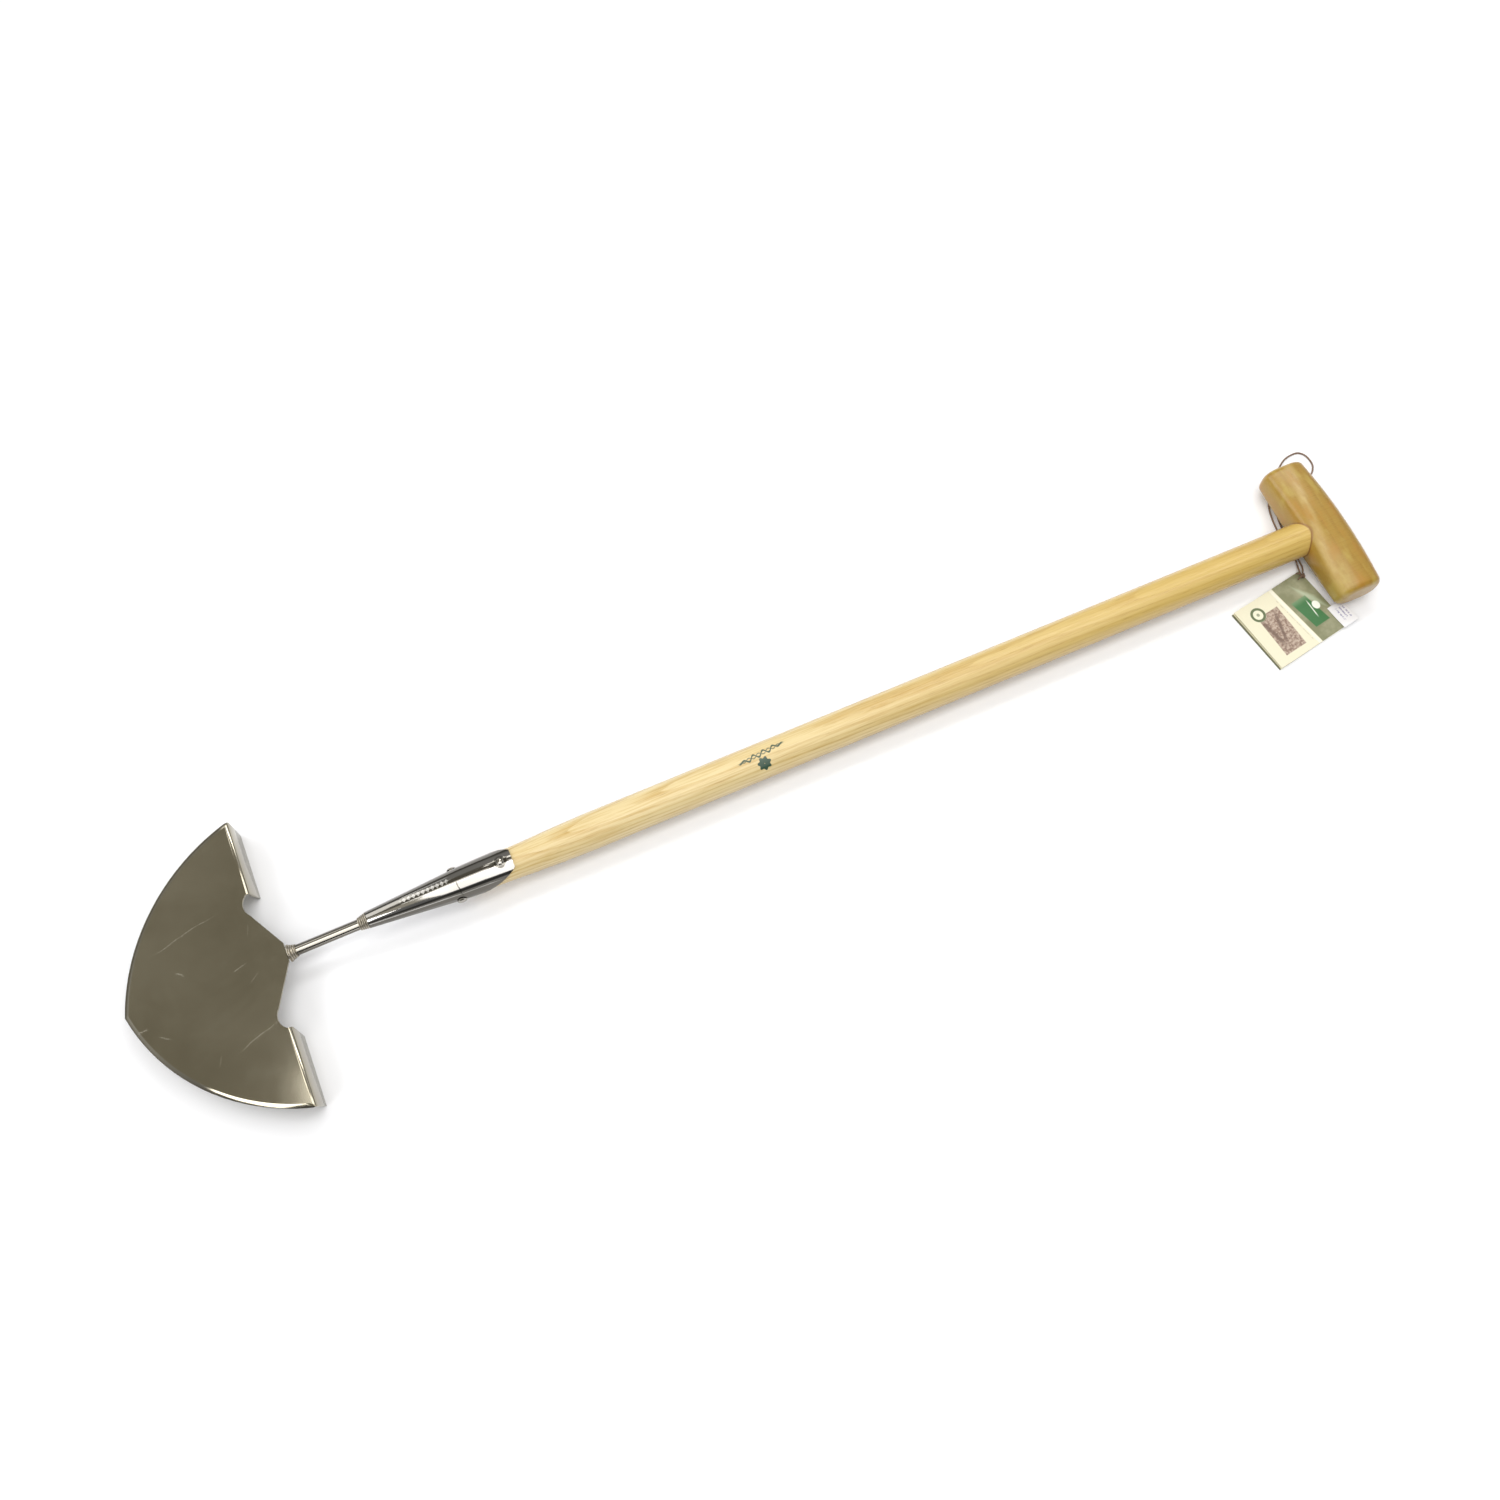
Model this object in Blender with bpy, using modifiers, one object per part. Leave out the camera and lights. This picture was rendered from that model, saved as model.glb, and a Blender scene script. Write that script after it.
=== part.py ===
"""Half-moon lawn edging iron lying on its back, front face up, with its swing tag.

X runs along the tool, blade at -X and T-grip at +X. Y runs along the grip.
The origin is under the middle of the tool, on the surface it lies on.
Distances called "along" are measured from the blade's tip towards the grip.
"""
import math

import bmesh
import bpy
from mathutils import Matrix, Vector

MERGE = 0.00001
GAP = 0.0003

# The whole tool
TOOL_LENGTH = 0.9986
SHAFT_RADIUS = 0.014
AXIS_HEIGHT = 0.0165

# Blade: two arcs meeting at a blunt tip, a straight chord with two folded treads
BLADE_TOP = 0.0265
BLADE_THICKNESS = 0.0018
BLADE_HALF_WIDTH = 0.111
BLADE_CHORD = 0.1055
EDGE_RADIUS = 0.1535
GRIND_WIDTH = 0.003
GRIND_DEPTH = 0.0013
PEAK_ALONG = 0.117
PEAK_HALF_WIDTH = 0.007
TREAD_BEND_RADIUS = 0.003
TREAD_ANGLE = math.radians(90.0)
TREAD_END_SLANT = 0.003
BEND_START = BLADE_CHORD - TREAD_BEND_RADIUS
NOTCH_RADIUS = 0.0105
NOTCH_ALONG = 0.1084
NOTCH_OFFSET = 0.0435
NOTCH_END = math.radians(222.0)

# Neck rod and its welds
ROD_RADIUS = 0.004
ROD_START = (0.082, 0.0203)
ROD_END = (0.1766, 0.0211)
FLARE_LENGTH = 0.006
FLARE_RADIUS = 0.0066
BEAD_RADIUS = 0.0016
BEAD_OFFSET = 0.0055
BEAD_RANGE = (0.085, 0.113)

# Socket: a tapered tube, its top line parallel to the shaft, its mouth cut on a slant
SHEET = 0.0012
SOCKET_PIVOT = 0.300
SOCKET_LIFT = 0.05
SOCKET_PROFILE = ((0.1770, 0.0063), (0.1860, 0.0070), (0.2480, 0.0123), (0.2640, 0.0130), (0.2880, 0.0136))
TONGUE_TIP = 0.2875
MOUTH_SIDE = 0.2490
MOUTH_BACK = 0.2460
SEAM_WIDTH = 0.0008
CAP_LENGTH = 0.0068

# Fastenings
RIVET_ALONG = 0.2435
RIVET_SHANK = 0.0024
RIVET_HEAD = 0.0036
RIVET_HEAD_HEIGHT = 0.0017
SCREW_ALONG = 0.2787
SCREW_SHANK = 0.0013
SCREW_HEAD = 0.0029
SCREW_HEAD_HEIGHT = 0.0013
SCREW_LENGTH = 0.014

# Wooden shaft, from its seat in the socket to its tenon in the grip
SEAT_START = 0.203
SHOULDERS = ((0.300, 0.0126), (0.320, 0.0134), (0.345, 0.0140))
TENON_RADIUS = 0.009
TENON_END = 0.985

# T-grip: rounded-box sections along Y, flat towards the shaft and bowed outwards
GRIP_FACE = 0.9588
GRIP_MIDDLE = (0.0199, 0.0165)
GRIP_END = (0.0187, 0.0138)
GRIP_HALF_LENGTH = 0.0612
GRIP_ROUNDING = 0.0048
GRIP_SQUARENESS = 2.9
GRIP_STATIONS = 14
GRIP_SIDES = 36

# Swing tag: three leaves of card under a price label
TAG_CENTRE = (0.92375, -0.05425)
TAG_SIZE = (0.071, 0.0575)
TAG_TURN = math.radians(10.0)
LEAF = 0.0005
LEAF_LEVELS = (0.0001, 0.0009, 0.0017)
TAG_HOLE_RADIUS = 0.0022
TAG_HOLE_INSET = 0.0052
LABEL_CENTRE = (0.9649, -0.0668)
LABEL_SIZE = (0.015, 0.0205)
LABEL_LEVEL = 0.0025

# String: its route in (along, across, height), from the knot round the grip's end and back
STRING_RADIUS = 0.00065
STRING_STATIONS = 76
KNOT_RADIUS = 0.0021
KNOT = (0.9527, -0.0252, 0.0047)
STRING_ROUTE = (
    (0.9521, -0.0227, 0.0040),
    (0.9540, -0.0180, 0.0026),
    (0.9572, -0.0090, 0.0010),
    (0.9578, 0.0040, 0.0008),
    (0.9580, 0.0180, 0.0008),
    (0.9600, 0.0310, 0.0008),
    (0.9635, 0.0420, 0.0008),
    (0.9700, 0.0520, 0.0008),
    (0.9800, 0.0620, 0.0008),
    (0.9900, 0.0700, 0.0008),
    (0.9988, 0.0758, 0.0008),
    (1.0070, 0.0778, 0.0008),
    (1.0136, 0.0771, 0.0008),
    (1.0178, 0.0725, 0.0008),
    (1.0189, 0.0651, 0.0008),
    (1.0172, 0.0596, 0.0008),
    (1.0117, 0.0544, 0.0008),
    (1.0020, 0.0500, 0.0008),
    (0.9900, 0.0480, 0.0008),
    (0.9780, 0.0465, 0.0008),
    (0.9690, 0.0400, 0.0008),
    (0.9640, 0.0270, 0.0008),
    (0.9615, 0.0120, 0.0008),
    (0.9600, -0.0030, 0.0008),
    (0.9590, -0.0140, 0.0012),
    (0.9570, -0.0195, 0.0026),
    (0.9543, -0.0227, 0.0040),
)

for old in list(bpy.data.objects):
    bpy.data.objects.remove(old, do_unlink=True)

parts = bpy.data.collections.new("lawn_edging_iron")
cutters = bpy.data.collections.new("cutters")
bpy.context.scene.collection.children.link(parts)
bpy.context.scene.collection.children.link(cutters)


def place(along, across, height):
    """World position of a point given from the blade's tip."""
    return Vector((along - TOOL_LENGTH / 2, across, height))


def material(name, colour, roughness, metallic=0.0):
    new = bpy.data.materials.new(name)
    new.use_nodes = True
    shader = new.node_tree.nodes["Principled BSDF"]
    shader.inputs["Base Color"].default_value = (*colour, 1.0)
    shader.inputs["Roughness"].default_value = roughness
    shader.inputs["Metallic"].default_value = metallic
    return new


def add_part(name, mesh, look):
    part = bpy.data.objects.new(name, mesh)
    mesh.materials.clear()
    mesh.materials.append(look)
    parts.objects.link(part)
    return part


def add_cutter(name, mesh):
    cutter = bpy.data.objects.new(name, mesh)
    cutters.objects.link(cutter)
    cutter.hide_render = True
    cutter.display_type = "WIRE"
    return cutter


def cut(part, cutter):
    boolean = part.modifiers.new("cut_" + cutter.name, "BOOLEAN")
    boolean.operation = "DIFFERENCE"
    boolean.object = cutter


def evaluated_mesh(source):
    """The mesh that an object's modifiers or curve make, welded, and the object removed."""
    bpy.context.view_layer.update()
    graph = bpy.context.evaluated_depsgraph_get()
    mesh = bpy.data.meshes.new_from_object(source.evaluated_get(graph))
    mesh.transform(source.matrix_world)
    bpy.data.objects.remove(source, do_unlink=True)
    work = bmesh.new()
    work.from_mesh(mesh)
    bmesh.ops.remove_doubles(work, verts=work.verts, dist=MERGE)
    work.to_mesh(mesh)
    work.free()
    return mesh


def turned(name, profile, steps=48):
    """Mesh of a profile of (radius, height) pairs turned about Z, run from top to bottom."""
    mesh = bpy.data.meshes.new(name)
    points = [(radius, 0.0, height) for radius, height in profile]
    closed = profile[0][0] > 0.0
    edges = [(i, i + 1) for i in range(len(points) - 1)]
    if closed:
        edges.append((len(points) - 1, 0))
    mesh.from_pydata(points, edges, [])
    source = bpy.data.objects.new(name, mesh)
    cutters.objects.link(source)
    screw = source.modifiers.new("turn", "SCREW")
    screw.steps = steps
    screw.render_steps = steps
    screw.use_merge_vertices = True
    screw.merge_threshold = MERGE
    return evaluated_mesh(source)


def lay_along_tool(mesh):
    """Turn a mesh made about Z so that its height becomes the distance along the tool."""
    mesh.transform(Matrix.Rotation(math.radians(90.0), 4, "Y"))
    mesh.transform(Matrix.Translation(place(0.0, 0.0, AXIS_HEIGHT)))


def lift_towards_blade(mesh):
    """Raise each section of the socket and its seat, so that the socket's top line stays level."""
    for vertex in mesh.vertices:
        reach = place(SOCKET_PIVOT, 0.0, 0.0).x - vertex.co.x
        vertex.co.z += SOCKET_LIFT * max(0.0, reach)


def axis_height(along):
    return AXIS_HEIGHT + SOCKET_LIFT * max(0.0, SOCKET_PIVOT - along)


def smooth_shading(mesh, degrees=35.0):
    mesh.shade_smooth()
    mesh.set_sharp_from_angle(angle=math.radians(degrees))


def cylinder(name, radius, length, centre, axis, sides=32):
    """Mesh of a cylinder centred on a point, along "X", "Y" or "Z"."""
    mesh = bpy.data.meshes.new(name)
    work = bmesh.new()
    bmesh.ops.create_cone(work, cap_ends=True, segments=sides, radius1=radius, radius2=radius, depth=length)
    work.to_mesh(mesh)
    work.free()
    if axis == "X":
        mesh.transform(Matrix.Rotation(math.radians(90.0), 4, "Y"))
    if axis == "Y":
        mesh.transform(Matrix.Rotation(math.radians(90.0), 4, "X"))
    mesh.transform(Matrix.Translation(centre))
    return mesh


def slab(name, size, centre, turn):
    """Mesh of a flat box with its own size, centre and turn about Z."""
    mesh = bpy.data.meshes.new(name)
    work = bmesh.new()
    bmesh.ops.create_cube(work, size=1.0)
    bmesh.ops.scale(work, vec=size, verts=work.verts)
    work.to_mesh(mesh)
    work.free()
    mesh.transform(Matrix.Translation(centre) @ Matrix.Rotation(turn, 4, "Z"))
    return mesh


def prism(name, outline, half_width):
    """Mesh of an (along, height) outline, as wide as twice half_width across the tool."""
    curve = bpy.data.curves.new(name, "CURVE")
    curve.dimensions = "2D"
    curve.fill_mode = "BOTH"
    curve.extrude = half_width
    spline = curve.splines.new("POLY")
    spline.points.add(len(outline) - 1)
    for point, (along, height) in zip(spline.points, outline):
        point.co = (along - TOOL_LENGTH / 2, height, 0.0, 1.0)
    spline.use_cyclic_u = True
    source = bpy.data.objects.new(name, curve)
    source.rotation_euler = (math.radians(90.0), 0.0, 0.0)
    cutters.objects.link(source)
    return evaluated_mesh(source)


def tube(name, points, radius, resolution, look):
    """A round bar or cord along world points, as a curve object with filled caps."""
    curve = bpy.data.curves.new(name, "CURVE")
    curve.dimensions = "3D"
    curve.bevel_depth = radius
    curve.bevel_resolution = resolution
    curve.use_fill_caps = True
    spline = curve.splines.new("POLY")
    spline.points.add(len(points) - 1)
    for point, position in zip(spline.points, points):
        point.co = (*position, 1.0)
    curve.materials.append(look)
    bar = bpy.data.objects.new(name, curve)
    parts.objects.link(bar)
    return bar


def smooth_route(route, stations):
    """Evenly spread points on a Catmull-Rom curve through the route's own points."""
    knots = [place(*point) for point in route]
    ends = [2 * knots[0] - knots[1]] + knots + [2 * knots[-1] - knots[-2]]
    fine = []
    for i in range(len(knots) - 1):
        a, b, c, d = ends[i:i + 4]
        for step in range(24):
            t = step / 24
            fine.append(0.5 * (2 * b + (c - a) * t + (2 * a - 5 * b + 4 * c - d) * t ** 2
                               + (3 * b - a - 3 * c + d) * t ** 3))
    fine.append(knots[-1])
    lengths = [0.0]
    for before, after in zip(fine, fine[1:]):
        lengths.append(lengths[-1] + (after - before).length)
    points = []
    index = 0
    for station in range(stations):
        target = lengths[-1] * station / (stations - 1)
        while index < len(fine) - 2 and lengths[index + 1] < target:
            index += 1
        share = (target - lengths[index]) / (lengths[index + 1] - lengths[index])
        points.append(fine[index].lerp(fine[index + 1], share))
    return points


def arc(centre, radius, start, end, steps):
    """Points of an arc from one angle to another, both ends included."""
    angles = [start + (end - start) * i / steps for i in range(steps + 1)]
    return [(centre[0] + radius * math.cos(a), centre[1] + radius * math.sin(a)) for a in angles]


def edge_centre():
    """Centre of the arc that runs from the tip to the blade's +Y corner."""
    corner = Vector((BEND_START, BLADE_HALF_WIDTH))
    inward = Vector((corner.y, -corner.x)).normalized()
    return corner / 2 + inward * math.sqrt(EDGE_RADIUS ** 2 - (corner.length / 2) ** 2)


def blade_outline():
    """Half the blade's flat, from the tip round the cutting edge, chord and notch to the peak."""
    centre = edge_centre()
    start = math.atan2(-centre.y, -centre.x) % math.tau
    end = math.atan2(BLADE_HALF_WIDTH - centre.y, BEND_START - centre.x)
    outline = arc(centre, EDGE_RADIUS, start, end, 20)
    notch_start = math.acos((BEND_START - NOTCH_ALONG) / NOTCH_RADIUS)
    outline += arc((NOTCH_ALONG, NOTCH_OFFSET), NOTCH_RADIUS, notch_start, NOTCH_END, 10)
    outline.append((PEAK_ALONG, PEAK_HALF_WIDTH))
    outline.append((PEAK_ALONG, 0.0))
    return outline


def make_blade(steel):
    """One sheet: the half-moon flat with a tread folded down along each half of its chord."""
    work = bmesh.new()
    verts = [work.verts.new(place(along, across, BLADE_TOP)) for along, across in blade_outline()]
    face = work.faces.new(verts)
    face.normal_update()
    if face.normal.z < 0.0:
        face.normal_flip()
    bend_start = place(BEND_START, 0.0, 0.0).x
    chord = [e for e in work.edges if all(abs(v.co.x - bend_start) < MERGE for v in e.verts)]
    axis_point = Vector((bend_start, 0.0, BLADE_TOP - TREAD_BEND_RADIUS))
    bend = bmesh.ops.spin(work, geom=chord, cent=axis_point, axis=(0.0, 1.0, 0.0),
                          angle=TREAD_ANGLE, steps=6, use_merge=False)
    edge = [item for item in bend["geom_last"] if isinstance(item, bmesh.types.BMEdge)]
    lower = bmesh.ops.extrude_edge_only(work, edges=edge)
    foot = [item for item in lower["geom"] if isinstance(item, bmesh.types.BMVert)]
    inner_end = min(vertex.co.y for vertex in foot)
    for vertex in foot:
        vertex.co.z = 0.0
        if vertex.co.y > BLADE_HALF_WIDTH - MERGE:
            vertex.co.y -= TREAD_END_SLANT
        elif vertex.co.y < inner_end + MERGE:
            vertex.co.y += TREAD_END_SLANT
    bmesh.ops.recalc_face_normals(work, faces=work.faces)
    work.faces.ensure_lookup_table()
    if work.faces[0].normal.z < 0.0:
        bmesh.ops.reverse_faces(work, faces=work.faces)
    mesh = bpy.data.meshes.new("blade")
    work.to_mesh(mesh)
    work.free()
    blade = add_part("blade", mesh, steel)
    mirror = blade.modifiers.new("other_half", "MIRROR")
    mirror.use_axis = (False, True, False)
    mirror.merge_threshold = MERGE
    sheet = blade.modifiers.new("sheet", "SOLIDIFY")
    sheet.thickness = BLADE_THICKNESS
    sheet.offset = -1.0
    sheet.use_even_offset = True
    centre = edge_centre()
    profile = (
        (EDGE_RADIUS + GRIND_WIDTH, BLADE_TOP + GRIND_WIDTH),
        (EDGE_RADIUS + GRIND_WIDTH, BLADE_TOP - GRIND_DEPTH * 2),
        (EDGE_RADIUS, BLADE_TOP - GRIND_DEPTH),
        (EDGE_RADIUS - GRIND_WIDTH, BLADE_TOP),
        (EDGE_RADIUS - GRIND_WIDTH, BLADE_TOP + GRIND_WIDTH),
    )
    for side, name in ((1.0, "left_grind"), (-1.0, "right_grind")):
        grind = turned(name, profile, steps=180)
        grind.transform(Matrix.Translation(place(centre.x, centre.y * side, 0.0)))
        cut(blade, add_cutter(name, grind))
    return blade


def make_neck(steel, weld_look):
    """The round bar between blade and socket, with the welds that hold it to the blade."""
    rod = [place(ROD_START[0], 0.0, ROD_START[1]), place(ROD_END[0], 0.0, ROD_END[1])]
    tube("neck_rod", rod, ROD_RADIUS, 6, steel)

    bore = ROD_RADIUS + GAP
    start = PEAK_ALONG + GAP
    profile = (
        (bore + 0.0002, start + FLARE_LENGTH),
        (FLARE_RADIUS - 0.0013, start + FLARE_LENGTH * 0.5),
        (FLARE_RADIUS, start + FLARE_LENGTH * 0.1),
        (FLARE_RADIUS, start),
        (bore, start),
        (bore, start + FLARE_LENGTH),
    )
    flare = turned("peak_weld", profile, steps=32)
    lay_along_tool(flare)
    slope = (ROD_END[1] - ROD_START[1]) / (ROD_END[0] - ROD_START[0])
    rod_height = ROD_START[1] + slope * (PEAK_ALONG - ROD_START[0])
    flare.transform(Matrix.Translation((0.0, 0.0, rod_height - AXIS_HEIGHT)))
    smooth_shading(flare)
    add_part("peak_weld", flare, weld_look)

    bead_height = BLADE_TOP - BLADE_THICKNESS - GAP - BEAD_RADIUS
    for side, name in ((1.0, "left_weld_bead"), (-1.0, "right_weld_bead")):
        ends = [place(along, BEAD_OFFSET * side, bead_height) for along in BEAD_RANGE]
        tube(name, ends, BEAD_RADIUS, 3, weld_look)


def socket_radius(along):
    for (x0, r0), (x1, r1) in zip(SOCKET_PROFILE, SOCKET_PROFILE[1:]):
        if along <= x1:
            return r0 + (r1 - r0) * (along - x0) / (x1 - x0)
    return SOCKET_PROFILE[-1][1]


def side_rivet_bore(name):
    centre = place(RIVET_ALONG, 0.0, axis_height(RIVET_ALONG))
    return add_cutter(name, cylinder(name, RIVET_SHANK + GAP, 0.06, centre, "Y", 24))


def tongue_screw_bore(name):
    top = axis_height(SCREW_ALONG) + socket_radius(SCREW_ALONG)
    depth = SCREW_LENGTH + 2 * GAP
    centre = place(SCREW_ALONG, 0.0, top - depth + 0.01)
    return add_cutter(name, cylinder(name, SCREW_SHANK + GAP, 0.02, centre, "Z", 20))


def make_socket(steel):
    """The tapered tube over the shaft, with a slanted mouth, a front tongue and a back seam."""
    outer = [(radius, along) for along, radius in reversed(SOCKET_PROFILE)]
    inner = [(radius - SHEET, along) for along, radius in SOCKET_PROFILE]
    mesh = turned("socket", outer + inner)
    lay_along_tool(mesh)
    lift_towards_blade(mesh)
    smooth_shading(mesh)
    socket = add_part("socket", mesh, steel)
    tongue_level = AXIS_HEIGHT + 0.0122
    side_level = AXIS_HEIGHT - 0.0055
    far = TONGUE_TIP + 0.03
    mouth = prism("mouth_cut", ((far, 0.05), (TONGUE_TIP, 0.05), (TONGUE_TIP, tongue_level),
                                (MOUTH_SIDE, side_level), (MOUTH_BACK, -0.01), (far, -0.01)), 0.03)
    cut(socket, add_cutter("mouth_cut", mouth))
    seam_length = MOUTH_BACK - SOCKET_PROFILE[1][0]
    seam_centre = place(SOCKET_PROFILE[1][0] + seam_length / 2 + 0.005, 0.0, 0.0)
    seam = slab("seam_cut", (seam_length + 0.01, SEAM_WIDTH, 0.034), seam_centre, 0.0)
    cut(socket, add_cutter("seam_cut", seam))
    cut(socket, side_rivet_bore("socket_rivet_bore"))
    cut(socket, tongue_screw_bore("socket_screw_bore"))
    return socket


def make_socket_weld(weld_look):
    """The weld that closes the socket's narrow end round the rod."""
    start = ROD_END[0] - CAP_LENGTH
    end = SOCKET_PROFILE[0][0] - GAP
    mesh = bpy.data.meshes.new("socket_weld")
    work = bmesh.new()
    bmesh.ops.create_cone(work, cap_ends=True, segments=32, radius1=ROD_RADIUS + 0.0008,
                          radius2=SOCKET_PROFILE[0][1] - 0.0002, depth=end - start)
    work.to_mesh(mesh)
    work.free()
    mesh.transform(Matrix.Translation((0.0, 0.0, (start + end) / 2)))
    lay_along_tool(mesh)
    narrow_lift = ROD_END[1] - AXIS_HEIGHT
    wide_lift = axis_height(end) - AXIS_HEIGHT
    first_x = place(start, 0.0, 0.0).x
    for vertex in mesh.vertices:
        share = (vertex.co.x - first_x) / (end - start)
        vertex.co.z += narrow_lift + (wide_lift - narrow_lift) * share
    smooth_shading(mesh)
    weld = add_part("socket_weld", mesh, weld_look)
    centre = place((start + end) / 2, 0.0, ROD_END[1] - 0.00005)
    bore = cylinder("weld_bore", ROD_RADIUS + GAP, 0.03, centre, "X", 24)
    cut(weld, add_cutter("weld_bore", bore))
    return weld


def make_side_rivet(steel):
    """A rivet right through socket and shaft, with a domed head on each side."""
    half_span = socket_radius(RIVET_ALONG) + GAP
    top = half_span + RIVET_HEAD_HEIGHT
    upper = [
        (0.0, top),
        (RIVET_HEAD * 0.45, top - RIVET_HEAD_HEIGHT * 0.08),
        (RIVET_HEAD * 0.8, top - RIVET_HEAD_HEIGHT * 0.34),
        (RIVET_HEAD, half_span + RIVET_HEAD_HEIGHT * 0.25),
        (RIVET_HEAD, half_span),
        (RIVET_SHANK, half_span),
    ]
    lower = [(radius, -height) for radius, height in reversed(upper)]
    mesh = turned("side_rivet", upper + lower, steps=24)
    mesh.transform(Matrix.Rotation(math.radians(-90.0), 4, "X"))
    mesh.transform(Matrix.Translation(place(RIVET_ALONG, 0.0, axis_height(RIVET_ALONG))))
    smooth_shading(mesh)
    add_part("side_rivet", mesh, steel)


def make_tongue_screw(steel):
    """A dome-headed screw that holds the tongue's tip to the shaft."""
    seat = axis_height(SCREW_ALONG) + socket_radius(SCREW_ALONG) + GAP
    profile = (
        (0.0, seat + SCREW_HEAD_HEIGHT),
        (SCREW_HEAD * 0.6, seat + SCREW_HEAD_HEIGHT * 0.84),
        (SCREW_HEAD, seat + SCREW_HEAD_HEIGHT * 0.2),
        (SCREW_HEAD, seat),
        (SCREW_SHANK, seat),
        (SCREW_SHANK, seat - SCREW_LENGTH + 0.003),
        (0.0, seat - SCREW_LENGTH),
    )
    mesh = turned("tongue_screw", profile, steps=20)
    mesh.transform(Matrix.Translation(place(SCREW_ALONG, 0.0, 0.0)))
    smooth_shading(mesh)
    add_part("tongue_screw", mesh, steel)


def grip_section(across, grow):
    """Half depth, half thickness and middle of the grip at a distance across, grown all round."""
    reach = GRIP_HALF_LENGTH - GRIP_ROUNDING
    bow = min(1.0, abs(across) / reach) ** 2
    depth = GRIP_MIDDLE[0] + (GRIP_END[0] - GRIP_MIDDLE[0]) * bow
    thickness = GRIP_MIDDLE[1] + (GRIP_END[1] - GRIP_MIDDLE[1]) * bow
    middle = GRIP_FACE + depth
    past = max(0.0, abs(across) - reach) / GRIP_ROUNDING
    tuck = GRIP_ROUNDING * (1.0 - math.sqrt(max(0.0, 1.0 - past ** 2)))
    return depth - tuck + grow, thickness - tuck + grow, middle


def grip_mesh(name, grow):
    """Rounded-box sections joined along Y and closed at both ends."""
    reach = GRIP_HALF_LENGTH - GRIP_ROUNDING
    sides = [reach * i / 7 for i in range(8)]
    round_steps = GRIP_STATIONS - 8
    sides += [reach + GRIP_ROUNDING * math.sin(math.radians(84.0) * i / round_steps)
              for i in range(1, round_steps + 1)]
    stations = [-side for side in reversed(sides[1:])] + sides
    work = bmesh.new()
    rings = []
    for across in stations:
        depth, thickness, middle = grip_section(across, grow)
        stretched = across * (1.0 + grow / GRIP_HALF_LENGTH)
        ring = []
        for i in range(GRIP_SIDES):
            angle = math.tau * i / GRIP_SIDES
            x = math.copysign(abs(math.cos(angle)) ** (2 / GRIP_SQUARENESS), math.cos(angle))
            z = math.copysign(abs(math.sin(angle)) ** (2 / GRIP_SQUARENESS), math.sin(angle))
            ring.append(work.verts.new(place(middle + depth * x, stretched, AXIS_HEIGHT + thickness * z)))
        rings.append(ring)
    for before, after in zip(rings, rings[1:]):
        for i in range(GRIP_SIDES):
            j = (i + 1) % GRIP_SIDES
            work.faces.new((before[i], before[j], after[j], after[i]))
    work.faces.new(rings[0])
    work.faces.new(list(reversed(rings[-1])))
    bmesh.ops.recalc_face_normals(work, faces=work.faces)
    mesh = bpy.data.meshes.new(name)
    work.to_mesh(mesh)
    work.free()
    smooth_shading(mesh)
    return mesh


def make_grip(wood):
    grip = add_part("t_grip", grip_mesh("t_grip", 0.0), wood)
    length = TENON_END + GAP - GRIP_FACE + 0.01
    centre = place(TENON_END + GAP - length / 2, 0.0, AXIS_HEIGHT)
    mortise = cylinder("mortise", TENON_RADIUS + GAP, length, centre, "X")
    cut(grip, add_cutter("mortise", mortise))
    return grip


def make_shaft(wood):
    """The turned shaft: a tapered seat, a full-width length and a tenon, coped to the grip."""
    profile = [(0.0, TENON_END), (SHAFT_RADIUS, TENON_END)]
    profile += [(radius, along) for along, radius in reversed(SHOULDERS)]
    wood_gap = SHEET + GAP
    seat = [(SOCKET_PROFILE[-1][0], SOCKET_PROFILE[-1][1] - wood_gap)]
    seat += [(along, radius - wood_gap) for along, radius in reversed(SOCKET_PROFILE[2:-1])]
    seat.append((SEAT_START, socket_radius(SEAT_START) - wood_gap))
    profile += [(radius, along) for along, radius in seat]
    profile.append((0.0, SEAT_START))
    mesh = turned("shaft", profile)
    lay_along_tool(mesh)
    lift_towards_blade(mesh)
    smooth_shading(mesh)
    shaft = add_part("shaft", mesh, wood)

    cope = add_cutter("grip_cope", grip_mesh("grip_cope", GAP))
    length = 0.06
    centre = place(TENON_END - length / 2 + 0.001, 0.0, AXIS_HEIGHT)
    tenon = add_cutter("tenon", cylinder("tenon", TENON_RADIUS, length, centre, "X"))
    cut(cope, tenon)
    cut(shaft, cope)
    cut(shaft, side_rivet_bore("shaft_rivet_bore"))
    cut(shaft, tongue_screw_bore("shaft_screw_bore"))
    return shaft


def tag_point(from_centre_x, from_centre_y, height):
    """World point given on the tag's own axes."""
    turned_point = Matrix.Rotation(TAG_TURN, 3, "Z") @ Vector((from_centre_x, from_centre_y, 0.0))
    return place(TAG_CENTRE[0], TAG_CENTRE[1], height) + turned_point


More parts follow.
